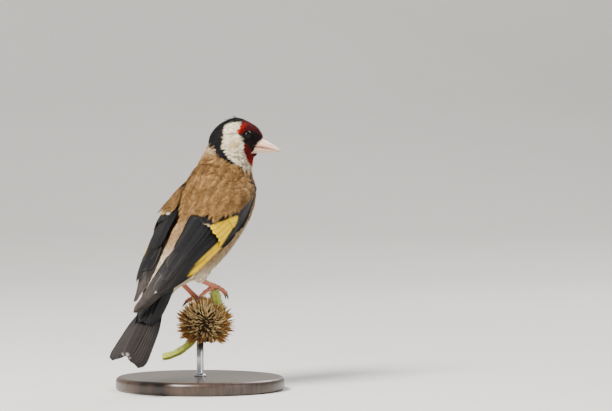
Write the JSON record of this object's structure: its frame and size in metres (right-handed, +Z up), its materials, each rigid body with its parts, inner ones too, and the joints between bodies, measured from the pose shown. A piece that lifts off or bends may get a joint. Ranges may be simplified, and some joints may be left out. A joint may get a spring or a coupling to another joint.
{
  "type": "european goldfinch",
  "caption": "Life-size european goldfinch, head turned to its right, perched on a dried thistle head held by a plain display stand.",
  "frame": {"origin": "centre of the stand's underside", "axes": "+Z up, +Y the way the body faces, +X the bird's right"},
  "size_m": [0.076, 0.0944, 0.1224],
  "materials": {
    "mantle_feathers": "soft warm brown body feathers, streaked",
    "face_feathers": "short feathers: crimson face, white cheek, black hood",
    "belly_feathers": "soft pale buff feathers, faintly streaked",
    "flight_feathers": "black vanes with a yellow bar, white spots and brown-grey edges",
    "bill_horn": "smooth pale pinkish horn, satin",
    "eye": "dark brown, wet gloss",
    "leg_skin": "pinkish brown scaled skin",
    "claw_horn": "dark brown horn, satin",
    "dried_thistle": "dry brown bracts, straw at their edges",
    "green_stem": "ridged green stem with pale hairs",
    "stand_steel": "brushed",
    "stand_wood": "dark stained, satin"
  },
  "bodies": {
    "root": {"torso": "mantle_feathers", "neck": "mantle_feathers", "head": "face_feathers", "bill_upper": "bill_horn", "bill_lower": "bill_horn", "tail": "flight_feathers", "wing_left": "flight_feathers", "eye_left": "eye", "thigh_left": "belly_feathers", "tarsus_left": "leg_skin", "foot_left": "leg_skin", "claw_left_1": "claw_horn", "claw_left_2": "claw_horn", "claw_left_3": "claw_horn", "claw_left_4": "claw_horn", "wing_right": "flight_feathers", "eye_right": "eye", "thigh_right": "belly_feathers", "tarsus_right": "leg_skin", "foot_right": "leg_skin", "claw_right_1": "claw_horn", "claw_right_2": "claw_horn", "claw_right_3": "claw_horn", "claw_right_4": "claw_horn", "perch_head": "dried_thistle", "perch_stub": "green_stem", "perch_stem": "green_stem", "stand_rod": "stand_steel", "stand_base": "stand_wood"}
  },
  "joints": []
}
